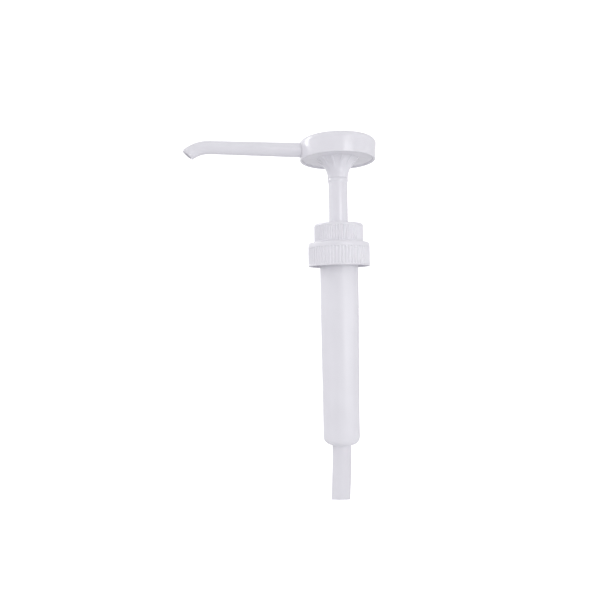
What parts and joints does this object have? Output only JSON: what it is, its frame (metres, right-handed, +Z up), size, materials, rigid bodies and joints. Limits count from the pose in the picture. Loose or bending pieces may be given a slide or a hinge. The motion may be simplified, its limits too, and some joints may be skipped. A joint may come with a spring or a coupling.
{
  "type": "condiment pump dispenser",
  "caption": "Hand pump for a condiment jar: round push head with a long side spout, ribbed screw closure, spring-return piston in a barrel, and a dip tube.",
  "frame": {"origin": "on the pump's axis, in the plane of the jar's rim, where the underside of the closure gasket seals", "axes": "+Z up along the pump's axis; the spout points along -X at rest"},
  "size_m": [0.1265, 0.0508, 0.2409],
  "materials": {
    "gloss_white": "moulded polypropylene, polished",
    "natural_white": "moulded polypropylene, satin",
    "tube_white": "extruded polyethylene tube",
    "soft_seal": "soft white seal material",
    "seal_rubber": "black nitrile rubber",
    "foam_liner": "white foamed polyethylene liner",
    "steel": "stainless steel"
  },
  "bodies": {
    "barrel": {"barrel": "natural_white", "closure_gasket": "foam_liner", "stem_guide": "natural_white", "stem_wiper": "soft_seal", "guide_gasket": "seal_rubber", "retaining_collar": "gloss_white", "inlet_ball_cage": "natural_white", "return_spring": "steel", "dip_tube": "tube_white"},
    "stem": {"stem": "natural_white", "stem_oring": "seal_rubber", "piston_body": "natural_white", "piston_seal": "soft_seal", "outlet_ball_stop": "natural_white"},
    "head": {"head_shell": "gloss_white", "head_base": "gloss_white", "spout": "gloss_white", "spout_oring": "seal_rubber"},
    "closure": {"screw_closure": "gloss_white"},
    "inlet_ball": {"inlet_ball": "steel"},
    "outlet_ball": {"outlet_ball": "steel"}
  },
  "joints": [
    {"name": "pump_stroke", "type": "slide", "parent": "barrel", "child": "stem", "axis": [0, 0, -1], "range_m": [0, 0.0264], "stiffness_N_per_m": 790, "springref_m": -0.0137, "deforming": ["return_spring"]},
    {"name": "head_swivel", "type": "hinge", "parent": "stem", "child": "head", "pos_m": [0, 0, 0.048], "axis": [0, 0, 1], "continuous": true},
    {"name": "closure_spin", "type": "hinge", "parent": "barrel", "child": "closure", "pos_m": [0, 0, 0], "axis": [0, 0, 1], "continuous": true},
    {"name": "inlet_ball_lift", "type": "slide", "parent": "barrel", "child": "inlet_ball", "axis": [0, 0, 1], "range_m": [0, 0.003]},
    {"name": "outlet_ball_lift", "type": "slide", "parent": "stem", "child": "outlet_ball", "axis": [0, 0, 1], "range_m": [0, 0.003]}
  ]
}
